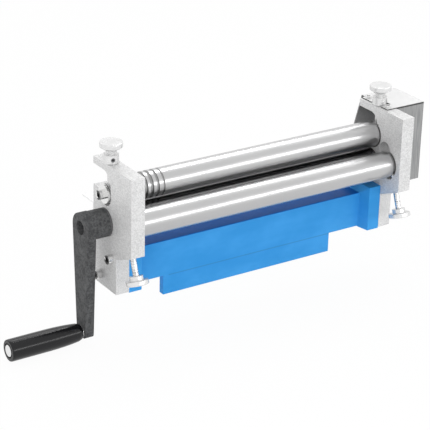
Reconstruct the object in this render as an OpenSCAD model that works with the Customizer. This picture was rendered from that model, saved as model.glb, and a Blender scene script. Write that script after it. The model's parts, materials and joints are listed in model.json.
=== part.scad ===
// Bench slip roll: two geared pinch rolls and a bending roll between a pair of
// end plates, on a cast beam with a tongue that a vise holds.
// X runs along the rolls with the crank at -X, the bending roll faces -Y, Z is up.
// The origin lies on the front face of the tongue, halfway up it.

/* [End plates] */
// Clear width between the end plates
gap_w = 322; // [250:1:420]
// Thickness of an end plate
plate_t = 15.5; // [14:0.5:20]
// Height of the arm's underside above the upper roll's axis
arm_rise = 24.6; // [22:0.2:30]
// Depth of the lower half, the foot, of an end plate
foot_d = 46; // [42:1:52]
// Depth of the upper half of an end plate
plate_d = 76.4; // [72:0.5:84]
// Height of the step under the overhanging upper half
step_h = 52.9; // [46:0.1:56]
// Slope of the step's underside, which rises to the front
step_tilt = 23; // [15:0.5:25]
// Thickness of the arm over the notch that the upper roll slips out of
arm_t = 8; // [7:0.5:10]
// Height of the horn behind the upper roll above that roll's axis
horn_rise = 1.6; // [0.2:0.2:4]
// Radius of the upper front corner of the notch
notch_r = 11; // [8:0.5:11.5]
// Distance from the upper roll's axis forward to the front wall of the notch
notch_front = 7.2; // [6:0.2:8]
// Height of the slot for the upper roll's bush above that roll's axis
seat_rise = 13.6; // [13:0.2:14]

/* [Beam] */
// Height of the beam between its end blocks
beam_h = 40.6; // [34:0.5:46]
// Depth of the beam from its front face
beam_d = 27; // [22:1:31]
// Height of the end blocks
block_h = 50.3; // [44:0.5:51]
// Depth of the end blocks below the beam
block_drop = 1.2; // [0.2:0.1:3]
// Thickness of the end blocks at their front
block_t = 15; // [12:0.5:20]
// Extra thickness of the end blocks where they meet the beam
block_draft = 3; // [1:0.5:6]
// Distance from the front face of the beam to the rear edges of the plates
beam_setback = 31.8; // [28:0.2:36]
// Length of the tongue
tongue_w = 215; // [150:5:260]
// Height of the tongue
tongue_h = 22; // [16:1:30]
// Thickness of the tongue
tongue_t = 7.6; // [6:0.2:12]
// Distance of the tongue's middle from the middle of the gap, towards the crank
tongue_shift = 4; // [0:1:15]

/* [Rolls] */
// Diameter of the three rolls
roll_d = 29; // [27.5:0.1:29.2]
// Height of the drive roll's axis above the bottom of the plates
drive_z = 74.2; // [73:0.1:75]
// Distance from the drive roll's axis to the upper roll's axis
pinch_c = 31.2; // [31:0.1:31.6]
// Distance of both pinch axes from the rear edges of the plates
pinch_y = 25; // [24:0.1:25.5]
// Gap between a pinch roll and an end plate
pinch_end_gap = 0.8; // [0.5:0.1:2]
// Gap between the bending roll and an end plate
bend_end_gap = 2.6; // [1:0.1:4]
// Diameter of the upper roll's journals
upper_journal_d = 15; // [12:0.5:17]
// Diameter of the upper roll's bushes
bush_d = 20.4; // [19.5:0.1:20.8]
// Diameter of the drive roll's journals
drive_journal_d = 15; // [12:0.5:16]
// Diameter of the bending roll's journals
bend_journal_d = 12; // [10:0.5:13]
// Radii of the wire grooves at the crank end of the upper roll
groove_radii = [2, 1.8, 1.4, 1];
// Distance between the middles of neighbouring wire grooves
groove_pitch = 7; // [5:0.1:9]
// Distance from the left plate to the middle of the first wire groove
groove_start = 24.2; // [8:0.2:30]

/* [Bending roll travel] */
// Distance of the bending roll's axis in front of the pinch axes
bend_y = 29.4; // [29.2:0.1:32]
// Height of the bending roll's axis above the drive roll's axis
bend_z = 4.9; // [4.2:0.1:6]
// Tilt of its travel from the vertical
bend_tilt = 20; // [18:0.5:22]
// Width of the slots that the bending blocks ride in
slot_w = 18.4; // [17:0.2:20]
// Depth of the slots in the plates
slot_depth = 12; // [10:0.5:13]
// Distance from the bending axis up to the centre of the slot's upper end
slot_up = 15.4; // [14.6:0.2:17]
// Distance from the bending axis down to the centre of the slot's lower end
slot_down = 8.2; // [7.8:0.1:9]

/* [Gears] */
// Teeth on each of the two gears
gear_teeth = 15; // [15:1:15]
// Width of the gears
gear_w = 13; // [9:0.5:16]
// Distance from the right plate to the gears
gear_gap = 3.5; // [2.5:0.5:6]
// Thickness of the gears' hubs beyond the teeth
gear_hub_t = 4; // [2:0.5:6]

/* [Gear cover] */
// Sheet thickness of the gear cover and the feed shelf
sheet_t = 1.2; // [0.8:0.1:1.6]
// Reach of the gear cover beyond the right plate
cover_w = 38.5; // [34:0.5:48]
// Height of the cover's lower edge above the bottom of the plates
cover_low = 48; // [40:0.5:51]
// Distance from the rear edges of the plates to the cover's front wall
cover_front = 45; // [44:0.5:52]
// Overhang of the cover's top behind the plates
cover_back = 6.2; // [4:0.2:12]
// Overhang of the cover's rear wall behind the plates, below its slope
cover_skirt = 21; // [18:0.5:30]
// How far the cover's back reaches past the plate's outer face
cover_reach = 8.5; // [4:0.5:11]

/* [Feed shelf] */
// Height of the feed shelf above the bottom of the plates
shelf_z = 86.5; // [78:0.2:88]
// Reach of the feed shelf behind the plates
shelf_d = 24.5; // [16:0.5:40]
// Height of the shelf's flange
shelf_flange = 22; // [16:1:30]

/* [Crank] */
// Distance from the left plate to the outer face of the crank arm
crank_out = 29.5; // [26:0.5:40]
// Thickness of the crank arm
arm_w = 10; // [8:0.5:12]
// Distance from the crank's axis to the grip's axis
crank_r = 117.2; // [80:0.2:150]
// Radius of the arm's round upper end
arm_top_r = 15.6; // [15:0.1:18]
// Half the arm's width at its lower end
arm_low_w = 9; // [8:0.1:11]
// Distance from the grip's axis down to the arm's flat end
arm_end = 6.2; // [5.8:0.1:9]
// Radius of the lower end's corners
arm_corner_r = 4.5; // [1:0.1:5]
// Diameter of the crank's hub
hub_d = 30.2; // [26:0.1:31]
// Depth of the open recess in the outer end of the hub
hub_recess = 7; // [4:0.5:9]
// Length of the grip
grip_l = 82; // [60:1:100]
// Largest diameter of the grip
grip_d = 23.2; // [20:0.1:28]
// Diameter of the grip where it meets the arm
grip_neck_d = 18; // [16:0.5:20]

/* [Screws] */
// Diameter of the thumb screws above the upper roll
thumb_d = 8; // [7.5:0.1:8.5]
// Diameter of the adjusting screws under the bending roll
adjust_d = 6.2; // [5:0.1:6.4]
// Diameter of the knobs on all four screws
knob_d = 24; // [20:0.5:26]
// Height of a thumb screw's rim
knob_rim = 5.2; // [4:0.1:8]
// Height of a thumb screw's flare under its rim
knob_flare = 4.4; // [3:0.1:7]
// Diameter of the stop collars
collar_d = 16; // [15:0.1:17]
// Height of the stop collars
collar_h = 9; // [7:0.1:9.4]
// Lift of the stop collars above the plates
collar_lift = 0.4; // [0.4:0.1:2]
// Length of an adjusting screw below the step, along its axis
adjust_reach = 23.2; // [20:0.2:30]
// Height of an adjusting screw's rim
adjust_rim = 5.2; // [3:0.1:7]
// Diameter of an adjusting knob's hub
knob_hub_d = 14.4; // [10:0.2:18]
// Height of an adjusting knob's hub
knob_hub_h = 4.4; // [2:0.2:7]
// Distance that the left plate's screws stand nearer the crank
left_shift = 1.3; // [0:0.1:1.6]
// Thread diameter of the socket cap screws that hold the beam
bolt_d = 6; // [5:0.5:6.5]

/* [Hidden] */

$fn = 64;

// Clearances shared by the fits
run_fit = 0.06;
slide_fit = 0.2;
air = 0.3;
over = 1;

// Reference levels
low_z = tongue_h / 2;
rear_y = beam_setback;
foot_y = rear_y - foot_d;
front_y = rear_y - plate_d;
step_root_z = low_z + step_h - (foot_y - front_y) * tan(step_tilt);
inner_x = gap_w / 2;
outer_x = inner_x + plate_t;
mid_x = inner_x + plate_t / 2;

// Axes
axis_y = rear_y - pinch_y;
drive_axis_z = low_z + drive_z;
upper_axis_z = drive_axis_z + pinch_c;
bend_axis_y = axis_y - bend_y;
bend_axis_z = drive_axis_z + bend_z;
arm_low_z = upper_axis_z + arm_rise;
top_z = arm_low_z + arm_t;
horn_z = upper_axis_z + horn_rise;
plate_h = top_z - low_z;

// End plates
seat_clear = 0.1;
seat_drop = 2.85;
seat_r = bush_d / 2 + seat_clear;
notch_y = axis_y - notch_front;
bush_recess = 1;
bush_wall = 3.5;
drive_bush_d = drive_journal_d + 2 * bush_wall;
cap_head_share = 5 / 3;
cap_socket_share = 5 / 6;
bolt_grip = 14;
bolt_high = [8.7, 37.8];
bolt_low = [32.2, 11.5];
screw_head_d = 7;
screw_head_h = 2.2;
screw_d = 4;
screw_l = 10;

function bolt_places() = [
    [foot_y + bolt_high[0], low_z + bolt_high[1]],
    [foot_y + bolt_low[0], low_z + bolt_low[1]]
];

// Places of the screws along X; side is -1 on the left and 1 on the right
function thumb_x(side) = side * mid_x - (side < 0 ? left_shift : 0);
function adjust_x(side) =
    side * (inner_x + slot_depth / 2) - (side < 0 ? left_shift : 0);

// Bending roll travel
block_up = 3;
block_down = 3.6;
block_side = slot_w - 2 * slide_fit;
block_bottom = block_down + block_side / 2;
tip_h = 4;
adjust_bottom = (bend_axis_z - low_z - step_h) / cos(bend_tilt) + adjust_reach;

// Gears
gear_module = 2;
gear_pressure = 20;
gear_thin = 0.35;
gear_tip_r = gear_module * (gear_teeth + 2) / 2;
gear_root_r = gear_module * (gear_teeth - 3) / 2;
gear_bore_d = 12;
gear_hub_r = 10;
gear_x = outer_x + gear_gap;
gear_end_x = gear_x + gear_w + gear_hub_t;
gear_flank_shares = [0, 0.25, 0.5, 0.75, 1];
key_w = 4;
key_h = 4;
end_washer_d = 18;
end_washer_t = 1.6;
end_bolt_d = 6;
end_bolt_l = 12;
hex_af = 10;
hex_h = 4;

// Gear cover
cover_x = outer_x + cover_w;
cover_flange = 12.5;
cover_in_x = outer_x - cover_flange;
cover_front_y = rear_y - cover_front;
cover_back_y = rear_y + cover_back;
cover_skirt_y = rear_y + cover_skirt;
cover_low_z = low_z + cover_low;
cover_top_z = top_z + sheet_t;
cover_bend_z = low_z + shelf_z + 3 * sheet_t;
cover_notch = collar_d + 1.2;
cover_screw_inset = 5;

// Feed shelf
shelf_top_z = low_z + shelf_z;
shelf_screw_drop = 12;

// Crank
crank_x = -outer_x - crank_out;
arm_in_x = crank_x + arm_w;
crank_washer_t = 1.8;
crank_washer_d = hub_d;
hub_end_x = -outer_x - air - crank_washer_t;
shaft_end_x = crank_x + hub_recess;
grip_z = drive_axis_z - crank_r;
shoulder_t = 1.2;
shoulder_d = 15;
grip_x = crank_x - shoulder_t - air;
grip_end_x = grip_x - grip_l;
pin_d = 8;
pin_head_d = 12.6;
pin_head_t = 1.6;
grip_recess_d = 15.6;
grip_recess = 1.6;
set_screw_d = 5;

// Thumb screws
collar_z = top_z + collar_lift;
knob_gap = 3.6;
knob_z = collar_z + collar_h + knob_gap;
bush_top_z = upper_axis_z + bush_d / 2;
thumb_seat = 2;

// Cylinder along X between two places
module rod_x(x0, x1, d) {
    translate([x0, 0, 0]) rotate([0, 90, 0]) cylinder(d = d, h = x1 - x0);
}

// Solid of revolution about X, its points given as [distance along X, radius]
module turned_x(points) {
    rotate([0, 90, 0]) rotate_extrude() polygon([for (p = points) [p[1], p[0]]]);
}

// Y-Z outline extruded along X between two places
module slab_x(x0, x1) {
    translate([x0, 0, 0]) rotate([90, 0, 90]) linear_extrude(height = x1 - x0) children();
}

// X-Z outline extruded along Y between two places
module slab_y(y0, y1) {
    translate([0, y1, 0]) rotate([90, 0, 0]) linear_extrude(height = y1 - y0) children();
}

// Rest place of the drive, upper and bending axes
module on_drive() {
    translate([0, axis_y, drive_axis_z]) children();
}

module on_upper() {
    translate([0, axis_y, upper_axis_z]) children();
}

// Bending axis with Z turned along the travel
module on_bend() {
    translate([0, bend_axis_y, bend_axis_z]) rotate([-bend_tilt, 0, 0]) children();
}

module hexagon_x(x0, x1, across) {
    translate([x0, 0, 0]) rotate([0, 90, 0]) cylinder(d = across / cos(30), h = x1 - x0, $fn = 6);
}

// Socket cap screw along X, its head towards +X from its seat
module cap_screw(seat, length, d) {
    difference() {
        union() {
            rod_x(seat - length, seat + d / 2, d);
            rod_x(seat, seat + d, cap_head_share * d);
        }
        hexagon_x(seat + d / 2, seat + d + over, cap_socket_share * d);
    }
}

// Outline of an end plate
module plate_outline() {
    difference() {
        polygon([
            [rear_y, low_z], [rear_y, horn_z], [rear_y, top_z], [front_y, top_z],
            [front_y, low_z + step_h], [foot_y, step_root_z], [foot_y, low_z]
        ]);
        // The notch is open to the rear and has a rounded upper front corner
        translate([notch_y + notch_r, horn_z]) square([plate_d, arm_low_z - horn_z]);
        translate([notch_y, horn_z]) square([plate_d, arm_low_z - notch_r - horn_z]);
        translate([notch_y + notch_r, arm_low_z - notch_r]) circle(r = notch_r);
        // Slot for the bush
        translate([axis_y, upper_axis_z - seat_drop]) circle(r = seat_r);
        translate([axis_y - seat_r, upper_axis_z - seat_drop])
            square([2 * seat_r, seat_drop + seat_rise]);
    }
}

// An end plate with its bores and its slot; side is -1 on the left and 1 on the right
module end_plate(side) {
    x0 = side < 0 ? -outer_x : inner_x;
    slot_x = side < 0 ? -inner_x - slot_depth : inner_x - over;
    difference() {
        slab_x(x0, x0 + plate_t) plate_outline();
        on_drive() rod_x(x0 - over, x0 + plate_t + over, drive_bush_d);
        // Slot for the bending block
        on_bend() {
            for (z = [-slot_down, slot_up])
                translate([slot_x, 0, z]) rotate([0, 90, 0])
                    cylinder(d = slot_w, h = slot_depth + over);
            translate([slot_x, -slot_w / 2, -slot_down])
                cube([slot_depth + over, slot_w, slot_down + slot_up]);
            translate([adjust_x(side), 0, -plate_h])
                cylinder(d = adjust_d + 2 * run_fit, h = plate_h);
        }
        // Hole for the thumb screw
        translate([thumb_x(side), axis_y, upper_axis_z])
            cylinder(d = thumb_d + 2 * run_fit, h = plate_h);
        // Holes for the beam's screws
        for (p = bolt_places())
            translate([0, p[0], p[1]]) rod_x(x0 - over, x0 + plate_t + over, bolt_d + slide_fit);
        // Tapped holes for the shelf's screws
        for (drop = shelf_screw_drops())
            translate([side * mid_x, rear_y - screw_l, shelf_top_z - drop])
                rotate([-90, 0, 0]) cylinder(d = screw_d, h = screw_l + over);
        // Tapped holes for the cover's screws
        if (side > 0) for (y = cover_screw_ys())
            translate([mid_x, y, top_z - screw_l]) cylinder(d = screw_d, h = screw_l + over);
    }
}

module left_end_plate() {
    color("lightgray") end_plate(-1);
}

module right_end_plate() {
    color("lightgray") end_plate(1);
}

// Outline of the beam and its end blocks seen from above
module beam_plan() {
    root = inner_x - block_t - block_draft;
    tip = inner_x - block_t;
    polygon([
        [-inner_x, foot_y], [-tip, foot_y], [-root, 0], [root, 0], [tip, foot_y], [inner_x, foot_y],
        [inner_x, rear_y], [root, rear_y], [root, beam_d], [-root, beam_d], [-root, rear_y],
        [-inner_x, rear_y]
    ]);
}

module base_beam() {
    root = inner_x - block_t - block_draft;
    tip = inner_x - block_t;
    slant = over * block_draft / (block_h - beam_h);
    color("dodgerblue") difference() {
        union() {
            translate([0, 0, low_z]) linear_extrude(height = block_h) beam_plan();
            translate([0, 0, low_z - block_drop])
                linear_extrude(height = block_drop + over) difference() {
                    beam_plan();
                    translate([-root, foot_y - over]) square([2 * root, foot_d + 2 * over]);
                }
            translate([-tongue_w / 2 - tongue_shift, 0, -low_z])
                cube([tongue_w, tongue_t, tongue_h + over]);
        }
        // The end blocks slope down to the beam
        slab_y(foot_y - over, rear_y + over) polygon([
            [-root, low_z + beam_h], [root, low_z + beam_h], [tip + slant, low_z + block_h + over],
            [-tip - slant, low_z + block_h + over]
        ]);
        for (p = bolt_places(), side = [-1, 1])
            translate([0, p[0], p[1]])
                rod_x(side < 0 ? -inner_x - over : inner_x - bolt_grip,
                      side < 0 ? -inner_x + bolt_grip : inner_x + over, bolt_d);
    }
}

// Socket cap screws through one plate into the beam
module beam_bolts(side) {
    mirror([side < 0 ? 1 : 0, 0, 0]) for (p = bolt_places())
        translate([0, p[0], p[1]]) cap_screw(outer_x, plate_t + bolt_grip, bolt_d);
}

module left_beam_bolts() {
    color("gainsboro") beam_bolts(-1);
}

module right_beam_bolts() {
    color("gainsboro") beam_bolts(1);
}

function shelf_screw_drops() = [shelf_screw_drop];

// Bent sheet that carries the work to the pinch rolls
module feed_shelf() {
    color("whitesmoke") difference() {
        slab_x(-outer_x, outer_x) polygon([
            [rear_y, shelf_top_z - shelf_flange], [rear_y, shelf_top_z],
            [rear_y + shelf_d, shelf_top_z], [rear_y + shelf_d, shelf_top_z - sheet_t],
            [rear_y + sheet_t, shelf_top_z - sheet_t],
            [rear_y + sheet_t, shelf_top_z - shelf_flange]
        ]);
        for (side = [-1, 1], drop = shelf_screw_drops())
            translate([side * mid_x, rear_y - over, shelf_top_z - drop])
                rotate([-90, 0, 0]) cylinder(d = screw_d + slide_fit, h = sheet_t + 2 * over);
    }
}

// Round-headed screw that points along -Z from its seat
module pan_screw() {
    difference() {
        union() {
            translate([0, 0, -screw_l + over]) cylinder(d = screw_d, h = screw_l);
            cylinder(d = screw_head_d, h = screw_head_h);
        }
        for (turn = [0, 90]) rotate([0, 0, turn])
            translate([-screw_head_d / 3, -screw_d / 8, screw_head_h / 2])
                cube([2 * screw_head_d / 3, screw_d / 4, screw_head_h]);
    }
}

module shelf_screws() {
    color("silver") for (side = [-1, 1], drop = shelf_screw_drops())
        translate([side * mid_x, rear_y + sheet_t, shelf_top_z - drop])
            rotate([-90, 0, 0]) pan_screw();
}

function cover_screw_ys() = [cover_front_y + cover_screw_inset, rear_y - cover_screw_inset];

// Outline of the cover seen along the rolls, drawn in by a sheet thickness or not
module cover_outline(inset) {
    slope = atan2(cover_skirt - cover_back, cover_top_z - cover_bend_z);
    side = inset / cos(slope);
    polygon([
        [cover_front_y + inset, cover_low_z - (inset > 0 ? over : 0)],
        [cover_front_y + inset, cover_top_z - inset],
        [cover_back_y - side + inset * tan(slope), cover_top_z - inset],
        [cover_skirt_y - inset, cover_bend_z - inset * (1 / cos(slope) - 1) / tan(slope)],
        [cover_skirt_y - inset, cover_low_z - (inset > 0 ? over : 0)]
    ]);
}

// Bent sheet over the gears, screwed to the top of the right plate
module gear_cover() {
    color("gainsboro") difference() {
        slab_x(cover_in_x, cover_x) cover_outline(0);
        slab_x(cover_in_x - over, cover_x - sheet_t) cover_outline(sheet_t);
        // The front wall starts at the plate, and the skirt beside the shelf
        translate([cover_in_x - over, cover_front_y - over, cover_low_z - over])
            cube([cover_flange + over, cover_front + over + air, top_z - cover_low_z + over]);
        translate([cover_in_x - over, rear_y, cover_low_z - over])
            cube([cover_flange - cover_reach + over, plate_d, top_z - cover_low_z + plate_t]);
        translate([cover_in_x - over, rear_y - over, cover_low_z - over])
            cube([cover_flange + over + air, plate_d, cover_bend_z - cover_low_z + over]);
        // Notch round the stop collar
        translate([cover_in_x - over, axis_y - cover_notch / 2, top_z - over])
            cube([mid_x + cover_notch / 2 - cover_in_x + over, cover_notch, sheet_t + 2 * over]);
        for (y = cover_screw_ys())
            translate([mid_x, y, top_z - over])
                cylinder(d = screw_d + slide_fit, h = sheet_t + 2 * over);
    }
}

module cover_screws() {
    color("silver") for (y = cover_screw_ys())
        translate([mid_x, y, cover_top_z]) pan_screw();
}

// Bush of the drive roll, pressed into a plate
module drive_bush(side) {
    x0 = side < 0 ? -outer_x : inner_x;
    on_drive() difference() {
        rod_x(x0, x0 + plate_t, drive_bush_d);
        rod_x(x0 - over, x0 + plate_t + over, drive_journal_d + 2 * run_fit);
    }
}

module left_drive_bush() {
    color("peru") drive_bush(-1);
}

module right_drive_bush() {
    color("peru") drive_bush(1);
}

module drive_roll() {
    body_x = inner_x - pinch_end_gap;
    color("silver") on_drive() difference() {
        union() {
            rod_x(shaft_end_x, -body_x, drive_journal_d);
            rod_x(-body_x, body_x, roll_d);
            rod_x(body_x, gear_x - air, drive_journal_d);
            rod_x(gear_x - air, gear_end_x, gear_bore_d);
        }
        rod_x(gear_end_x - end_bolt_l, gear_end_x + over, end_bolt_d);
        translate([gear_x, -key_w / 2, gear_bore_d / 2 - key_h / 2])
            cube([gear_w, key_w, key_h]);
    }
}

// Points of one flank of a tooth: an involute above its base circle, radial below it
function involute(r, base) = let (a = r > base ? acos(base / r) : 0) tan(a) * 180 / PI - a;
function tooth_half(r) =
    let (pitch_r = gear_module * gear_teeth / 2, base = pitch_r * cos(gear_pressure))
    (gear_module * PI / 2 - gear_thin) / 2 / pitch_r * 180 / PI
    + involute(pitch_r, base) - involute(r, base);
function flank_radii() = [for (s = gear_flank_shares) gear_root_r + s * (gear_tip_r - gear_root_r)];
function spoke(r, a) = [r * cos(a), r * sin(a)];
function last(list) = len(list) - 1;
function gear_points() = [
    for (i = [0 : gear_teeth - 1]) let (centre = i * 360 / gear_teeth, rs = flank_radii())
        each concat(
            [for (r = rs) spoke(r, centre - tooth_half(r))],
            [for (k = [0 : last(rs)]) let (r = rs[last(rs) - k]) spoke(r, centre + tooth_half(r))]
        )
];

// Gear with a tooth at the given angle from +Y
module gear(tooth_at) {
    slot = key_w + slide_fit;
    difference() {
        union() {
            slab_x(gear_x, gear_x + gear_w) rotate(tooth_at) polygon(gear_points());
            rod_x(gear_x, gear_end_x - slide_fit, 2 * gear_hub_r);
        }
        rod_x(gear_x - over, gear_end_x + over, gear_bore_d);
        translate([gear_x - over, -slot / 2, 0])
            cube([gear_w + gear_hub_t + 2 * over, slot, gear_bore_d / 2 + key_h / 2 + slide_fit]);
    }
}

module drive_gear() {
    color("dimgray") on_drive() gear(90);
}

module upper_gear() {
    color("dimgray") on_upper() gear(-90 + 180 / gear_teeth);
}

module gear_key() {
    translate([gear_x, -key_w / 2, gear_bore_d / 2 - key_h / 2]) cube([gear_w, key_w, key_h]);
}

module drive_gear_key() {
    color("silver") on_drive() gear_key();
}

module upper_gear_key() {
    color("silver") on_upper() gear_key();
}

module gear_washer() {
    difference() {
        rod_x(gear_end_x, gear_end_x + end_washer_t, end_washer_d);
        rod_x(gear_end_x - over, gear_end_x + end_washer_t + over, end_bolt_d + slide_fit);
    }
}

module drive_gear_washer() {
    color("silver") on_drive() gear_washer();
}

module upper_gear_washer() {
    color("silver") on_upper() gear_washer();
}

// Hexagon bolt into the end of a shaft, its head towards +X
module end_bolt(seat) {
    hexagon_x(seat, seat + hex_h, hex_af);
    rod_x(seat - end_washer_t - end_bolt_l + over, seat + hex_h / 2, end_bolt_d);
}

module drive_gear_bolt() {
    color("silver") on_drive() end_bolt(gear_end_x + end_washer_t);
}

module upper_gear_bolt() {
    color("silver") on_upper() end_bolt(gear_end_x + end_washer_t);
}

// Outline of the crank arm, tapered from its round top to a flat end with round corners
module arm_outline() {
    corner = [arm_low_w - arm_corner_r, arm_corner_r - arm_end - crank_r];
    hull() {
        circle(r = arm_top_r);
        for (side = [-1, 1]) translate([side * corner[0], corner[1]]) circle(r = arm_corner_r);
    }
}

module crank_arm() {
    color("dimgray") on_drive() difference() {
        union() {
            slab_x(crank_x, arm_in_x) arm_outline();
            rod_x(crank_x + arm_w / 2, hub_end_x, hub_d);
        }
        rod_x(crank_x - over, hub_end_x + over, drive_journal_d);
        translate([0, 0, -crank_r]) rod_x(crank_x - over, arm_in_x + over, pin_d);
        translate([(arm_in_x + hub_end_x) / 2, 0, -hub_d / 2 - over])
            cylinder(d = set_screw_d, h = hub_d / 2 + over - drive_journal_d / 2 + over);
    }
}

module crank_set_screw() {
    tip = drive_journal_d / 2;
    depth = (hub_d - drive_journal_d) / 2 - over;
    color("dimgray") on_drive() translate([(arm_in_x + hub_end_x) / 2, 0, -tip - depth])
        difference() {
            cylinder(d = set_screw_d, h = depth);
            translate([0, 0, -over]) cylinder(d = set_screw_d / 2, h = depth / 2 + over, $fn = 6);
        }
}

module crank_washer() {
    color("silver") on_drive() difference() {
        rod_x(hub_end_x, hub_end_x + crank_washer_t, crank_washer_d);
        rod_x(hub_end_x - over, hub_end_x + crank_washer_t + over, drive_journal_d);
    }
}

// Pin that the grip turns on, held in the arm, with a shoulder beside it and a head
module grip_pin() {
    seat = grip_end_x + grip_recess - air;
    edge = pin_head_t / 5;
    color("silver") translate([0, axis_y, grip_z]) {
        rod_x(seat - over, arm_in_x, pin_d);
        rod_x(crank_x - shoulder_t, crank_x, shoulder_d);
        turned_x([
            [seat, 0], [seat, pin_head_d / 2], [seat - pin_head_t + edge, pin_head_d / 2],
            [seat - pin_head_t, pin_head_d / 2 - edge], [seat - pin_head_t, 0]
        ]);
    }
}

// Shares of the grip's length, from its outer end, and of its largest diameter
grip_shape_shares = [
    [0, 0.94], [0.005, 0.97], [0.014, 0.99], [0.04, 1], [0.3, 1], [0.55, 0.995],
    [0.65, 0.98], [0.74, 0.955], [0.82, 0.92], [0.89, 0.875], [0.95, 0.83]
];

module crank_grip() {
    rim = 0.03 * grip_l;
    color("black") translate([0, axis_y, grip_z]) difference() {
        turned_x(concat(
            [[grip_end_x, 0]],
            [for (s = grip_shape_shares) [grip_end_x + s[0] * grip_l, s[1] * grip_d / 2]],
            [[grip_x - rim, grip_neck_d / 2], [grip_x, grip_neck_d / 2 - rim / 3], [grip_x, 0]]
        ));
        rod_x(grip_end_x - over, grip_x + over, pin_d + 2 * run_fit);
        rod_x(grip_end_x - over, grip_end_x + grip_recess, grip_recess_d);
    }
}

// Bush that carries the upper roll and slides up in the plate's notch
module upper_bush(side) {
    x0 = side < 0 ? -outer_x + bush_recess : inner_x;
    on_upper() difference() {
        rod_x(x0, x0 + plate_t - bush_recess, bush_d);
        rod_x(x0 - over, x0 + plate_t + over, upper_journal_d + 2 * run_fit);
        translate([thumb_x(side), 0, bush_d / 2 - thumb_seat])
            cylinder(d = thumb_d + 2 * run_fit, h = thumb_seat + over);
    }
}

module left_upper_bush() {
    color("peru") upper_bush(-1);
}

module right_upper_bush() {
    color("peru") upper_bush(1);
}

// Distance from the left plate to the middle of wire groove i
function groove_at(i) = groove_start + i * groove_pitch;

upper_end_x = -outer_x - air;
upper_washer_t = 2.3;
upper_washer_d = bush_d - slide_fit;

module upper_roll() {
    body_x = inner_x - pinch_end_gap;
    color("silver") on_upper() difference() {
        union() {
            rod_x(upper_end_x, -body_x, upper_journal_d);
            rod_x(-body_x, body_x, roll_d);
            rod_x(body_x, gear_x - air, upper_journal_d);
            rod_x(gear_x - air, gear_end_x, gear_bore_d);
        }
        for (i = [0 : len(groove_radii) - 1])
            translate([groove_at(i) - inner_x, 0, 0]) rotate([0, 90, 0]) rotate_extrude()
                translate([roll_d / 2, 0]) circle(r = groove_radii[i], $fn = 32);
        rod_x(gear_end_x - end_bolt_l, gear_end_x + over, end_bolt_d);
        rod_x(upper_end_x - over, upper_end_x + end_bolt_l, end_bolt_d);
        translate([gear_x, -key_w / 2, gear_bore_d / 2 - key_h / 2])
            cube([gear_w, key_w, key_h]);
    }
}

module upper_end_washer() {
    color("silver") on_upper() difference() {
        rod_x(upper_end_x - upper_washer_t, upper_end_x, upper_washer_d);
        rod_x(upper_end_x - upper_washer_t - over, upper_end_x + over, end_bolt_d + slide_fit);
    }
}

module upper_end_bolt() {
    color("silver") on_upper() mirror([1, 0, 0])
        cap_screw(-upper_end_x + upper_washer_t, upper_washer_t + end_bolt_l - over, end_bolt_d);
}

// Shares of a knob's radius and of its flare's height
flare_shares = [[0.55, 0], [0.59, 0.35], [0.86, 0.72], [1, 1]];

// Thumb screw with a flared round knob
module thumb_screw(side) {
    edge = knob_rim / 8;
    color("whitesmoke") translate([thumb_x(side), axis_y, 0]) {
        translate([0, 0, bush_top_z - thumb_seat + air])
            cylinder(d = thumb_d, h = knob_z - bush_top_z + thumb_seat);
        translate([0, 0, knob_z]) rotate_extrude() polygon(concat(
            [[0, 0]],
            [for (s = flare_shares) [s[0] * knob_d / 2, s[1] * knob_flare]],
            [[knob_d / 2, knob_flare + knob_rim - edge],
             [knob_d / 2 - edge, knob_flare + knob_rim], [0, knob_flare + knob_rim]]
        ));
    }
}

module left_thumb_screw() {
    thumb_screw(-1);
}

module right_thumb_screw() {
    thumb_screw(1);
}

// Directions of the set screws in the left and right stop collars, seen from above
collar_turns = [-104.5, -50];
function collar_turn(side) = collar_turns[side < 0 ? 0 : 1];

// Collar that stops the thumb screw above the plate
module stop_collar(side) {
    color("gainsboro") translate([thumb_x(side), axis_y, collar_z]) difference() {
        cylinder(d = collar_d, h = collar_h);
        translate([0, 0, -over]) cylinder(d = thumb_d, h = collar_h + 2 * over);
        rotate([0, 0, collar_turn(side)]) translate([thumb_d / 4, 0, collar_h / 2])
            rotate([0, 90, 0]) cylinder(d = collar_h / 2, h = collar_d);
    }
}

module left_stop_collar() {
    stop_collar(-1);
}

module right_stop_collar() {
    stop_collar(1);
}

module collar_set_screw(side) {
    depth = (collar_d - thumb_d) / 2 - over;
    color("dimgray") translate([thumb_x(side), axis_y, collar_z + collar_h / 2])
        rotate([0, 0, collar_turn(side)]) translate([thumb_d / 2, 0, 0]) rotate([0, 90, 0])
            difference() {
                cylinder(d = collar_h / 2, h = depth);
                translate([0, 0, depth / 2]) cylinder(d = collar_h / 4, h = depth, $fn = 6);
            }
}

module left_collar_set_screw() {
    collar_set_screw(-1);
}

module right_collar_set_screw() {
    collar_set_screw(1);
}

// Block that carries an end of the bending roll in its slot
module bending_block(side) {
    x0 = side < 0 ? -inner_x - slot_depth + air : inner_x;
    thick = slot_depth - air;
    color("peru") on_bend() difference() {
        union() {
            for (z = [-block_down, block_up])
                translate([x0, 0, z]) rotate([0, 90, 0]) cylinder(d = block_side, h = thick);
            translate([x0, -block_side / 2, -block_down])
                cube([thick, block_side, block_down + block_up]);
        }
        rod_x(x0 - over, x0 + thick + over, bend_journal_d + 2 * run_fit);
        translate([adjust_x(side), 0, -block_bottom - over])
            cylinder(d = adjust_d + 2 * run_fit, h = tip_h + over);
    }
}

module left_bending_block() {
    bending_block(-1);
}

module right_bending_block() {
    bending_block(1);
}

module bending_roll() {
    body_x = inner_x - bend_end_gap;
    journal_x = inner_x + slot_depth - 2 * air;
    color("silver") translate([0, bend_axis_y, bend_axis_z]) {
        rod_x(-journal_x, journal_x, bend_journal_d);
        rod_x(-body_x, body_x, roll_d);
    }
}

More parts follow.
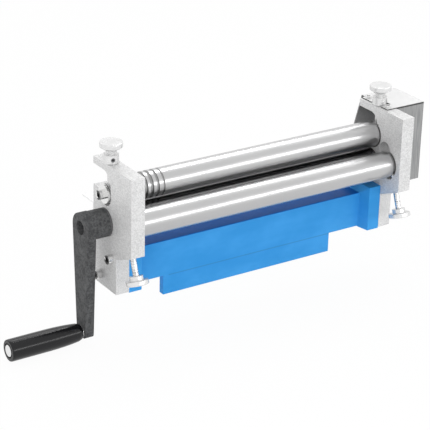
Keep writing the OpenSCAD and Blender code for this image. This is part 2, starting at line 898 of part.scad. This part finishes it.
// Adjusting screw with a hubbed round knob, pushed up under a bending block
module adjusting_screw(side) {
    edge = adjust_rim / 7;
    tip = -block_bottom + tip_h - air;
    color("whitesmoke") on_bend() translate([adjust_x(side), 0, 0]) {
        translate([0, 0, -adjust_bottom]) cylinder(d = adjust_d, h = adjust_bottom + tip);
        translate([0, 0, -adjust_bottom - knob_hub_h - adjust_rim]) rotate_extrude() polygon([
            [0, 0], [knob_d / 2 - edge, 0], [knob_d / 2, edge], [knob_d / 2, adjust_rim - edge],
            [knob_d / 2 - edge, adjust_rim], [knob_hub_d / 2, adjust_rim],
            [knob_hub_d / 2, adjust_rim + knob_hub_h], [0, adjust_rim + knob_hub_h]
        ]);
    }
}

module left_adjusting_screw() {
    adjusting_screw(-1);
}

module right_adjusting_screw() {
    adjusting_screw(1);
}

left_end_plate();
right_end_plate();
base_beam();
left_beam_bolts();
right_beam_bolts();
feed_shelf();
shelf_screws();
gear_cover();
cover_screws();
left_drive_bush();
right_drive_bush();
drive_roll();
drive_gear();
drive_gear_key();
drive_gear_washer();
drive_gear_bolt();
crank_arm();
crank_washer();
crank_set_screw();
grip_pin();
crank_grip();
left_upper_bush();
right_upper_bush();
upper_roll();
upper_gear();
upper_gear_key();
upper_gear_washer();
upper_gear_bolt();
upper_end_washer();
upper_end_bolt();
left_thumb_screw();
right_thumb_screw();
left_stop_collar();
right_stop_collar();
left_collar_set_screw();
right_collar_set_screw();
left_bending_block();
right_bending_block();
bending_roll();
left_adjusting_screw();
right_adjusting_screw();
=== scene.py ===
import json
import math

import bpy
from mathutils import Matrix, Vector


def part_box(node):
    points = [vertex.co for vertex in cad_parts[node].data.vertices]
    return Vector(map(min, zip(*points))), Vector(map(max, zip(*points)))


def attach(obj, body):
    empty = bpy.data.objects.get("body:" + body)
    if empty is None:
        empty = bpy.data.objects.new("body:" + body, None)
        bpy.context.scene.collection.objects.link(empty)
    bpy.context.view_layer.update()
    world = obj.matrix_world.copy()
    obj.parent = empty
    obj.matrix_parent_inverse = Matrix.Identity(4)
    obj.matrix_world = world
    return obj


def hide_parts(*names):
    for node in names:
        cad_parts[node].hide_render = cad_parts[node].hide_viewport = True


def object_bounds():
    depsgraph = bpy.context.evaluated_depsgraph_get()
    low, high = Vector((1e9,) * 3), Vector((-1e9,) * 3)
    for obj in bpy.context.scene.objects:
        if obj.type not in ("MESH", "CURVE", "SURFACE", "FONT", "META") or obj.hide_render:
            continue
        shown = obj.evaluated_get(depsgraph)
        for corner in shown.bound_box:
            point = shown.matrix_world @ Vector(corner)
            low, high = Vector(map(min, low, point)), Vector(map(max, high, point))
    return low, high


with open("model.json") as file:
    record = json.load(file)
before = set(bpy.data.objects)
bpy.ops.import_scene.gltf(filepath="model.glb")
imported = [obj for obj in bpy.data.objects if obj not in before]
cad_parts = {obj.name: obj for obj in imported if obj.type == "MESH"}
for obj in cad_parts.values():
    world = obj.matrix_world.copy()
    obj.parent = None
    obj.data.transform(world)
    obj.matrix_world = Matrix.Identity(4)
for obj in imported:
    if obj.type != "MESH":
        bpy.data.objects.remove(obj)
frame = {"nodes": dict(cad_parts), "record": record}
cad_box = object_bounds()
nodes = frame["nodes"]
scene = bpy.context.scene
slots = {part["node"]: part["material_slot"] for part in frame["record"]["subparts"]}
bodies = frame["record"]["behaviour"]["bodies"]
body_names = {node: body for body, members in bodies.items() for node in members}

# Axes, as places in a point
X = 0
Y = 1
Z = 2


# How far a node reaches along an axis
def lowest(node, axis):
    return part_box(node)[0][axis]


def highest(node, axis):
    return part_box(node)[1][axis]


def middle(node, axis):
    return (lowest(node, axis) + highest(node, axis)) / 2


# Places and sizes on the machine, in metres
PLATE_INNER_X = lowest("right_end_plate", X)
BEAM_FOOT_Z = lowest("right_end_plate", Z)
BEAM_TOP_Z = BEAM_FOOT_Z + 0.0406
BEAM_REAR_Y = 0.027
BLOCK_ROOT_X = 0.143
FOOT_LINE_END_X = 0.106
COVER_REAR_Y = highest("gear_cover", Y)
COVER_TOP_Z = highest("gear_cover", Z)
ROLL_RADIUS = (highest("bending_roll", Z) - lowest("bending_roll", Z)) / 2
KNOB_HEIGHT = 0.0155
CAP_HEAD_WIDTH = 0.012
SOCKET_DEPTH = 0.006
SOCKET_RADIUS = 0.0032

# Radii of the rounded edges
PLATE_EDGE = 0.0008
SCREW_EDGE = 0.0004
COLLAR_EDGE = 0.0005
CAP_SCREW_EDGE = 0.0002
BEAM_EDGE = 0.0030
CRANK_EDGE = 0.0012
GRIP_EDGE = 0.0006

# Nodes that are socket cap screws
CAP_SCREWS = (
    "left_beam_bolts", "right_beam_bolts", "upper_end_bolt", "drive_gear_bolt", "upper_gear_bolt"
)

# Camera at the photograph's angle
CAMERA_PLACE = Vector((-0.966274, -1.388129, 0.807531))
CAMERA_AZIMUTH = math.radians(-33.470)
CAMERA_ELEVATION = math.radians(23.995)
CAMERA_ROLL = math.radians(1.4216)
SENSOR_MM = 36
FOCAL_MM = 145.09
NEAREST_SEEN = 0.05
FARTHEST_SEEN = 20


def place_camera():
    back = Vector((
        math.sin(CAMERA_AZIMUTH) * math.cos(CAMERA_ELEVATION),
        -math.cos(CAMERA_AZIMUTH) * math.cos(CAMERA_ELEVATION),
        math.sin(CAMERA_ELEVATION),
    ))
    level = Vector((math.cos(CAMERA_AZIMUTH), math.sin(CAMERA_AZIMUTH), 0))
    upright = back.cross(level)
    right = math.cos(CAMERA_ROLL) * level + math.sin(CAMERA_ROLL) * upright
    up = math.cos(CAMERA_ROLL) * upright - math.sin(CAMERA_ROLL) * level
    lens = bpy.data.cameras.new("photo_camera")
    lens.sensor_width = SENSOR_MM
    lens.lens = FOCAL_MM
    lens.clip_start = NEAREST_SEEN
    lens.clip_end = FARTHEST_SEEN
    camera = bpy.data.objects.new("photo_camera", lens)
    turn = Matrix((right, up, back)).transposed()
    camera.matrix_world = Matrix.Translation(CAMERA_PLACE) @ turn.to_4x4()
    scene.collection.objects.link(camera)
    scene.camera = camera


# Shader maths: a socket that takes part in sums
class Field:
    def __init__(self, tree, socket):
        self.tree = tree
        self.socket = socket

    def combine(self, operation, first, second):
        node = self.tree.nodes.new("ShaderNodeMath")
        node.operation = operation
        for place, term in enumerate((first, second)):
            if isinstance(term, Field):
                self.tree.links.new(term.socket, node.inputs[place])
            else:
                node.inputs[place].default_value = term
        return Field(self.tree, node.outputs[0])

    def __add__(self, other):
        return self.combine("ADD", self, other)

    def __radd__(self, other):
        return self.combine("ADD", other, self)

    def __sub__(self, other):
        return self.combine("SUBTRACT", self, other)

    def __rsub__(self, other):
        return self.combine("SUBTRACT", other, self)

    def __mul__(self, other):
        return self.combine("MULTIPLY", self, other)

    def __rmul__(self, other):
        return self.combine("MULTIPLY", other, self)

    def __pow__(self, other):
        return self.combine("POWER", self, other)


# The nodes of a material or of the world
class Shader:
    def __init__(self, tree):
        self.tree = tree

    def node(self, kind, settings=None, sockets=None, output=0):
        made = self.tree.nodes.new(kind)
        for name, value in (settings or {}).items():
            setattr(made, name, value)
        for name, value in (sockets or {}).items():
            self.feed(made.inputs[name], value)
        return Field(self.tree, made.outputs[output])

    def feed(self, socket, value):
        if isinstance(value, Field):
            self.tree.links.new(value.socket, socket)
        elif socket.type == "RGBA":
            socket.default_value = (*value, 1)
        else:
            socket.default_value = value

    # One value for rays from the camera and another for rays that make mirror images
    def seen(self, by_camera, by_mirror):
        camera = self.node("ShaderNodeLightPath", output="Is Camera Ray")
        mirror = self.node("ShaderNodeLightPath", output="Is Glossy Ray")
        return by_camera * camera + by_mirror * mirror

    def mix(self, share, first, second):
        return self.node("ShaderNodeMixShader", None, {0: share, 1: first, 2: second})


class Finish(Shader):
    def __init__(self, name, metallic=0.0, coat=0.0, coat_roughness=0.1, specular=0.5):
        self.material = bpy.data.materials.new(name)
        self.material.use_nodes = True
        super().__init__(self.material.node_tree)
        self.surface = self.tree.nodes["Principled BSDF"]
        self.feed(self.surface.inputs["Metallic"], metallic)
        self.feed(self.surface.inputs["Coat Weight"], coat)
        self.feed(self.surface.inputs["Coat Roughness"], coat_roughness)
        self.feed(self.surface.inputs["Specular IOR Level"], specular)
        self.place = self.node("ShaderNodeTexCoord", output="Object")

    # Noise whose grain is stretched by a factor along each axis
    def grain(self, size, stretch=(1, 1, 1), detail=3, roughness=0.55):
        where = self.node(
            "ShaderNodeMapping", {"vector_type": "TEXTURE"}, {"Vector": self.place, "Scale": stretch}
        )
        return self.node(
            "ShaderNodeTexNoise",
            None,
            {"Vector": where, "Scale": 1 / size, "Detail": detail, "Roughness": roughness},
        )

    # A rise from 0 to 1 as a value goes from start to full
    def step(self, value, start, full):
        return self.node(
            "ShaderNodeMapRange",
            {"interpolation_type": "SMOOTHSTEP"},
            {"Value": value, "From Min": start, "From Max": full},
        )

    # A fall from 1 to 0 as a value goes from fade to end
    def within(self, value, fade, end):
        return 1 - self.step(value, fade, end)

    # A rise and then a fall
    def band(self, value, start, full, fade, end):
        return self.step(value, start, full) * self.within(value, fade, end)

    # The first colour where share is 0, and the second where it is 1
    def tint(self, share, first, second):
        return self.node(
            "ShaderNodeMix", {"data_type": "RGBA"}, {0: share, 6: first, 7: second}, output=2
        )

    def bump(self, height, distance, strength):
        return self.node(
            "ShaderNodeBump", None, {"Height": height, "Distance": distance, "Strength": strength}
        )

    # One of the object's own coordinates
    def along(self, axis):
        return self.node("ShaderNodeSeparateXYZ", None, {"Vector": self.place}, output=axis)

    # Distance from the middle of the machine towards either end
    def from_middle(self):
        return (self.along(X) ** 2.0) ** 0.5

    # Distance from a roll's axis
    def from_axis(self, roll):
        across = self.along(Y) - middle(roll, Y)
        above = self.along(Z) - middle(roll, Z)
        return (across * across + above * above) ** 0.5

    def look(self, colour, rough, relief):
        self.feed(self.surface.inputs["Base Color"], colour)
        self.feed(self.surface.inputs["Roughness"], rough)
        self.feed(self.surface.inputs["Normal"], relief)
        return self.material


# Colours
def grey(level):
    return (level, level, level)


DEEP_BLUE = (0.036, 0.290, 0.690)
BRIGHT_BLUE = (0.054, 0.335, 0.760)
# Deep blue of the painted shadow on the beam's top, and pale blue of the painted reflection on its
# rear
ROLL_SHADOW_BLUE = (0.0, 0.100, 0.480)
REFLECTION_BLUE = (0.42, 0.50, 0.62)
FOOT_LINE_BLUE = (0.04, 0.16, 0.36)
COOL_STEEL = (0.49, 0.49, 0.495)
# Dark steel painted on the drive roll as shade
DRIVE_SHADE_STEEL = (0.15, 0.15, 0.155)
OILY_GEAR = (0.10, 0.10, 0.11)
IRON_SHADE = (0.030, 0.031, 0.033)
IRON_SKIN = (0.104, 0.106, 0.108)
BLACK = (0.003, 0.003, 0.004)
SOFT_BLACK = (0.006, 0.006, 0.007)
# Darker sheet painted on the cover's walls as shade
SHADED_SHEET = (0.24, 0.245, 0.25)
SHELF_SHEET = (0.78, 0.78, 0.79)
WARM_PLATING = (0.90, 0.90, 0.89)

# Stretches of grain that runs round a roll, round an upright screw, up a wall and along a shelf
ROUND_ROLL = (1, 40, 40)
ROUND_SCREW = (24, 24, 1)
ROUND_THREAD = (20, 20, 1)
UP_WALL = (1, 1, 30)
ALONG_SHELF = (26, 1, 1)


# Blasted end plates, speckled, with rings of painted shade round the rolls' ends on their inner faces
def plate_finish():
    f = Finish("blasted_plate", metallic=0.28, specular=0.45)
    blotch = f.grain(0.012)
    speck = f.grain(0.0013, (1, 2.2, 1), roughness=0.8)
    pit = f.grain(0.0007, roughness=0.7)
    dull = f.step(0.10 * blotch + 0.50 * speck + 0.40 * pit, 0.42, 0.58)
    colour = f.tint(dull, grey(0.56), grey(0.78))
    inside = f.within(f.from_middle(), PLATE_INNER_X + 0.0002, PLATE_INNER_X + 0.0008)
    # Painted shade: near-black rings on the plates' inner faces round the roll ends, where the gap
    # between roll and plate lies in shade
    for roll in ("upper_roll", "bending_roll"):
        from_edge = f.from_axis(roll) - ROLL_RADIUS
        oil_and_shade = f.band(from_edge, -0.0017, -0.0009, 0.0007, 0.0017) * inside
        colour = f.tint(0.9 * oil_and_shade, colour, grey(0.05))
    relief = f.bump(0.5 * speck + 0.5 * pit, distance=0.00016, strength=0.6)
    return f.look(colour, 0.40 + 0.14 * dull, relief)


# Bevelled edges of the plates, painted brighter as a highlight
def edge_highlight_finish():
    f = Finish("plate_edge_highlight", metallic=0.5, specular=0.6)
    speck = f.grain(0.0015, roughness=0.7)
    colour = f.tint(speck, grey(0.84), grey(0.95))
    relief = f.bump(speck, distance=0.00005, strength=0.4)
    return f.look(colour, 0.26 + 0.12 * speck, relief)


# Painted casting; its top is darkened as painted shadow of the rolls and lightened at the rear as
# painted reflection, with a faint darker line above the tongue
def beam_finish():
    f = Finish("blue_paint", coat=0.04, coat_roughness=0.12, specular=0.08)
    orange_peel = f.grain(0.0022, detail=2)
    casting = f.grain(0.014)
    worn = f.step(f.grain(0.03, (2, 1, 1)), 0.35, 0.7)
    colour = f.tint(worn, DEEP_BLUE, BRIGHT_BLUE)
    sideways = f.from_middle()
    above_top = f.along(Z) - BEAM_TOP_Z
    # Painted shadow: the beam's top band turns a deeper blue, as the rolls' shade
    ledge = f.band(above_top, -0.0011, -0.0002, 0.0004, 0.0010)
    ledge = ledge * f.within(sideways, BLOCK_ROOT_X - 0.002, BLOCK_ROOT_X)
    colour = f.tint(0.85 * ledge, colour, ROLL_SHADOW_BLUE)
    # Painted reflection: the rear of the beam's top turns a paler blue, varied with the casting
    rear_reflection = ledge * f.step(f.along(Y), BEAM_REAR_Y - 0.013, BEAM_REAR_Y)
    colour = f.tint(rear_reflection * (0.10 + 0.20 * casting), colour, REFLECTION_BLUE)
    # A faint darker line along the foot, above the tongue
    above_foot = f.along(Z) - BEAM_FOOT_Z
    foot_line = f.band(above_foot, -0.0010, -0.0003, 0.0001, 0.0008)
    foot_line = foot_line * f.within(sideways, FOOT_LINE_END_X - 0.002, FOOT_LINE_END_X)
    colour = f.tint(0.45 * foot_line, colour, FOOT_LINE_BLUE)
    relief = f.bump(0.5 * orange_peel + casting, distance=0.00035, strength=0.45)
    return f.look(colour, 0.38 + 0.14 * worn, relief)


# A roll that is bright on its ground surface, with its grooves painted darker as shade
def roll_finish(roll):
    f = Finish("ground_" + roll, metallic=1.0)
    rings = f.grain(0.0006, ROUND_ROLL, roughness=0.65)
    smear = f.grain(0.035, (4, 1, 1))
    ground = f.tint(smear, COOL_STEEL, grey(0.57))
    # Painted shade: the grooves take a darker grey, as shade in the recesses
    surface = f.step(f.from_axis(roll), ROLL_RADIUS - 0.00045, ROLL_RADIUS - 0.00010)
    colour = f.tint(surface, grey(0.34), ground)
    relief = f.bump(rings, distance=0.00003, strength=0.6)
    return f.look(colour, 0.22 + 0.10 * rings + 0.06 * smear, relief)


# The drive roll lies in the dark between the others, and its steel is painted darker as shade, in
# blotches
def drive_roll_finish():
    f = Finish("drive_roll_painted_shade", metallic=1.0)
    rings = f.grain(0.0006, ROUND_ROLL, roughness=0.65)
    oil_and_shade = f.step(f.grain(0.02, (5, 1, 1)), 0.3, 0.7)
    # Painted shade: dark blotchy tones on the drive roll, for the dark between the rolls
    colour = f.tint(oil_and_shade, DRIVE_SHADE_STEEL, grey(0.27))
    relief = f.bump(rings, distance=0.00002, strength=0.5)
    return f.look(colour, 0.16 + 0.08 * rings, relief)


def crank_finish():
    f = Finish("dark_casting", specular=0.35)
    skin = f.grain(0.0022, detail=5, roughness=0.75)
    patch = f.grain(0.009)
    colour = f.tint(f.step(0.7 * skin + 0.3 * patch, 0.36, 0.64), IRON_SHADE, IRON_SKIN)
    relief = f.bump(0.7 * skin + 0.6 * patch, distance=0.0004, strength=0.6)
    return f.look(colour, 0.60 + 0.15 * patch, relief)


def grip_finish():
    f = Finish("black_grip", specular=0.36)
    swirl = f.grain(0.02, (3, 1, 1), detail=2)
    colour = f.tint(swirl, BLACK, SOFT_BLACK)
    relief = f.bump(swirl, distance=0.0001, strength=0.10)
    return f.look(colour, 0.16 + 0.08 * swirl, relief)


# Drawn sheet of the gear cover: walls painted darker as shade and lighter towards the rear as painted
# light, and a painted shadow line under a top painted brighter as light
def cover_finish():
    f = Finish("cover_sheet", metallic=0.55)
    drawn = f.grain(0.0012, UP_WALL, roughness=0.6)
    haze = f.grain(0.02)
    below_top = COVER_TOP_Z - f.along(Z)
    # Painted shade: the walls take darker tones of the sheet
    wall = f.tint(f.step(drawn, 0.3, 0.7), SHADED_SHEET, grey(0.40))
    # Painted light: the walls turn lighter towards the rear
    rear = f.step(f.along(Y), COVER_REAR_Y - 0.0248, COVER_REAR_Y - 0.0008)
    wall = f.tint(0.7 * rear, wall, grey(0.52))
    # Painted shadow: a near-black line on the walls just under the top
    wall = f.tint(f.within(below_top, 0.0016, 0.0024), wall, grey(0.06))
    # Painted light: the top is brighter than the walls, a lit copy of the same sheet
    top = f.tint(haze, grey(0.62), grey(0.74))
    colour = f.tint(f.within(below_top, 0.00005, 0.00030), wall, top)
    relief = f.bump(drawn, distance=0.00004, strength=0.5)
    return f.look(colour, 0.34 + 0.14 * drawn + 0.08 * haze, relief)


def shelf_finish():
    f = Finish("shelf_sheet", metallic=0.35)
    drawn = f.grain(0.0009, ALONG_SHELF, roughness=0.6)
    haze = f.grain(0.02)
    colour = f.tint(drawn, SHELF_SHEET, grey(0.93))
    relief = f.bump(drawn, distance=0.00004, strength=0.5)
    return f.look(colour, 0.30 + 0.14 * drawn + 0.08 * haze, relief)


# Turned steel of the thumb screws, adjusting screws and collars
def turned_finish():
    f = Finish("turned_steel", metallic=0.60)
    rings = f.grain(0.0009, ROUND_SCREW, detail=2)
    haze = f.grain(0.010, detail=2)
    colour = f.tint(haze, grey(0.68), grey(0.80))
    relief = f.bump(rings, distance=0.00003, strength=0.4)
    return f.look(colour, 0.18 + 0.10 * rings + 0.06 * haze, relief)


def bush_finish():
    f = Finish("bush_metal", metallic=0.6)
    spots = f.grain(0.0007)
    colour = f.tint(spots, grey(0.58), grey(0.74))
    relief = f.bump(spots, distance=0.00004, strength=0.5)
    return f.look(colour, 0.32 + 0.15 * spots, relief)


def gear_finish():
    f = Finish("oiled_gear_steel", metallic=0.9)
    oil_and_shade = f.grain(0.004, detail=4)
    colour = f.tint(oil_and_shade, OILY_GEAR, grey(0.22))
    relief = f.bump(oil_and_shade, distance=0.0001, strength=0.4)
    return f.look(colour, 0.30 + 0.18 * oil_and_shade, relief)


def fastener_finish():
    f = Finish("plated_fastener", metallic=1.0)
    spots = f.grain(0.0012)
    colour = f.tint(spots, grey(0.74), WARM_PLATING)
    relief = f.bump(spots, distance=0.00004, strength=0.5)
    return f.look(colour, 0.14 + 0.12 * spots, relief)


# Painted shade inside the cap screws' sockets
def socket_finish():
    f = Finish("socket_painted_shade", metallic=0.8)
    spots = f.grain(0.0012)
    colour = f.tint(spots, grey(0.04), grey(0.16))
    relief = f.bump(spots, distance=0.00004, strength=0.5)
    return f.look(colour, 0.30 + 0.14 * spots, relief)


# Stems of the adjusting screws
def thread_finish():
    f = Finish("screw_thread", metallic=1.0)
    thread = f.grain(0.0010, ROUND_THREAD, detail=1)
    colour = f.tint(f.step(thread, 0.40, 0.60), grey(0.50), grey(0.82))
    relief = f.bump(thread, distance=0.00006, strength=0.5)
    return f.look(colour, 0.22 + 0.10 * thread, relief)


# Finishes by the record's slots, and those of single nodes
finishes = {
    "plate_cast": plate_finish(),
    "beam_paint": beam_finish(),
    "sheet_steel": cover_finish(),
    "roll_steel": roll_finish("upper_roll"),
    "crank_cast": crank_finish(),
    "grip_plastic": grip_finish(),
    "bearing_bronze": bush_finish(),
    "dark_steel": gear_finish(),
    "turned_steel": turned_finish(),
    "fastener_steel": fastener_finish(),
}
own_finishes = {
    "drive_roll": drive_roll_finish(),
    "bending_roll": roll_finish("bending_roll"),
    "feed_shelf": shelf_finish(),
    "crank_washer": finishes["dark_steel"],
}
for name, part in nodes.items():
    part.data.materials.clear()
    part.data.materials.append(own_finishes.get(name, finishes[slots[name]]))


def deselect_all():
    for thing in bpy.context.selected_objects:
        thing.select_set(False)


# A copy of a CAD node, selected alone, with its triangles merged into whole faces
def merged_copy(node):
    deselect_all()
    piece = nodes[node].copy()
    piece.data = nodes[node].data.copy()
    piece.name = node + "_rounded"
    piece.parent = None
    scene.collection.objects.link(piece)
    bpy.context.view_layer.objects.active = piece
    piece.select_set(True)
    bpy.ops.object.mode_set(mode="EDIT")
    bpy.ops.mesh.select_all(action="SELECT")
    bpy.ops.mesh.remove_doubles(threshold=0.000004)
    bpy.ops.mesh.dissolve_limited(angle_limit=math.radians(0.5))
    bpy.ops.object.mode_set(mode="OBJECT")
    return piece


# A piece that takes a node's place and is rounded at edges that turn by more than sharp degrees
def rounded(node, radius, edge_finish=None, sharp=40, segments=3):
    piece = merged_copy(node)
    edges = piece.modifiers.new("rounded_edges", "BEVEL")
    edges.width = radius
    edges.segments = segments
    edges.limit_method = "ANGLE"
    edges.angle_limit = math.radians(sharp)
    if edge_finish:
        piece.data.materials.append(edge_finish)
        edges.material = 1
    broad = piece.modifiers.new("broad_faces_stay_flat", "WEIGHTED_NORMAL")
    broad.keep_sharp = True
    bpy.ops.object.modifier_apply(modifier=edges.name)
    bpy.ops.object.shade_smooth_by_angle(angle=math.radians(46))
    bpy.ops.object.modifier_apply(modifier=broad.name)
    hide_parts(node)
    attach(piece, body_names[node])
    return piece


# Another finish on those faces of a piece for which chosen(face) is true
def refinish(piece, finish, chosen):
    piece.data.materials.append(finish)
    for face in piece.data.polygons:
        if chosen(face):
            face.material_index = len(piece.data.materials) - 1


# Centres of the cap screws' heads in a node, whose ends all lie at one place along X
def head_centres(node, head_end_x):
    flatness = 0.0004
    heads = []
    for vertex in nodes[node].data.vertices:
        if abs(vertex.co.x - head_end_x) > flatness:
            continue
        for head in heads:
            if (head[0] - vertex.co).length < CAP_HEAD_WIDTH:
                head.append(vertex.co)
                break
        else:
            heads.append([vertex.co])
    centres = []
    for head in heads:
        ys = [point.y for point in head]
        zs = [point.z for point in head]
        centres.append(((min(ys) + max(ys)) / 2, (min(zs) + max(zs)) / 2))
    return centres


# Rounded cap screws with painted shade inside their sockets
def cap_screws(node, dark):
    crank_end = lowest(node, X) < 0
    head_end_x = lowest(node, X) if crank_end else highest(node, X)
    centres = head_centres(node, head_end_x)

    def in_socket(face):
        if abs(face.center.x - head_end_x) > SOCKET_DEPTH:
            return False
        return any(
            math.hypot(face.center.y - y, face.center.z - z) < SOCKET_RADIUS for y, z in centres
        )

    refinish(rounded(node, CAP_SCREW_EDGE), dark, in_socket)


# Rounded adjusting screw with another finish on its stem, above its knob
def adjusting_screw(node, thread):
    knob_top = lowest(node, Z) + KNOB_HEIGHT
    refinish(rounded(node, SCREW_EDGE), thread, lambda face: face.center.z > knob_top)


def dress_machine():
    dark = socket_finish()
    for node in CAP_SCREWS:
        cap_screws(node, dark)
    # Painted highlight on the plates' bevelled edges
    edge_highlight = edge_highlight_finish()
    thread = thread_finish()
    for side in ("left", "right"):
        rounded(side + "_end_plate", PLATE_EDGE, edge_highlight)
        rounded(side + "_thumb_screw", SCREW_EDGE)
        adjusting_screw(side + "_adjusting_screw", thread)
        rounded(side + "_stop_collar", COLLAR_EDGE)
    rounded("base_beam", BEAM_EDGE, sharp=14, segments=4)
    rounded("crank_arm", CRANK_EDGE)
    rounded("crank_grip", GRIP_EDGE)


# Floor that is white to the camera and in mirror images, and keeps some of the shadow
def floor_finish():
    f = Finish("pale_floor")
    f.feed(f.surface.inputs["Base Color"], grey(0.88))
    f.feed(f.surface.inputs["Roughness"], 0.9)
    lit = Field(f.tree, f.surface.outputs[0])
    glow = f.node("ShaderNodeEmission", None, {"Color": grey(1), "Strength": 1})
    shown = f.mix(f.seen(by_camera=0.95, by_mirror=0.85), lit, glow)
    f.feed(f.tree.nodes["Material Output"].inputs[0], shown)
    return f.material


def lay_floor():
    deselect_all()
    gap = 0.0015
    bpy.ops.mesh.primitive_plane_add(size=6, location=(0, 0, cad_box[0][Z] - gap))
    floor = bpy.context.object
    floor.name = "floor"
    floor.data.materials.append(floor_finish())


# World that is white to the camera and in mirror images, and lights the machine less strongly
def surround():
    world = bpy.data.worlds.new("studio")
    world.use_nodes = True
    scene.world = world
    w = Shader(world.node_tree)
    background = w.tree.nodes["Background"]
    w.feed(background.inputs["Color"], grey(1))
    w.feed(background.inputs["Strength"], 0.60)
    lit = Field(w.tree, background.outputs[0])
    white = w.node("ShaderNodeBackground", None, {"Color": grey(1), "Strength": 1})
    shown = w.mix(w.seen(by_camera=1, by_mirror=1), lit, white)
    w.feed(w.tree.nodes["World Output"].inputs[0], shown)


# A lamp that stands at a place and faces a target
def softbox(name, place, target, width, height, watts, glossy=True, diffuse=1.0):
    light = bpy.data.lights.new(name, "AREA")
    light.shape = "RECTANGLE"
    light.size = width
    light.size_y = height
    light.energy = watts
    light.diffuse_factor = diffuse
    lamp = bpy.data.objects.new(name, light)
    lamp.location = place
    aim = Vector(target) - Vector(place)
    lamp.rotation_euler = aim.to_track_quat("-Z", "Y").to_euler()
    lamp.visible_glossy = glossy
    scene.collection.objects.link(lamp)


# Softboxes light the machine and leave no mirror image, and strips show on the rolls and the grip
def hang_lamps():
    machine = (0, 0, 0.06)
    crank = (-0.1, 0, 0.06)
    rolls = (0, 0, 0.1)
    grip = (-0.25, 0, -0.03)
    softbox("front_softbox", (-1.1, -1.3, 0.85), crank, width=1.2, height=0.9, watts=9.5, glossy=False)
    softbox("left_softbox", (-1.9, -0.2, 0.6), machine, width=1.0, height=0.9, watts=4, glossy=False)
    softbox("top_softbox", (0.25, 0.1, 2.0), machine, width=1.5, height=1.5, watts=6, glossy=False)
    softbox("top_strip", (0.88, 0.80, 1.45), rolls, width=3.2, height=0.42, watts=9)
    softbox("front_strip", (0.85, -1.6, 0.56), rolls, width=2.4, height=0.26, watts=9, diffuse=0.0)
    softbox("grip_strip", (0.57, 0.56, 1.26), grip, width=0.12, height=0.5, watts=2.0, diffuse=0.0)


place_camera()
dress_machine()
lay_floor()
surround()
hang_lamps()
scene.view_settings.view_transform = "Standard"
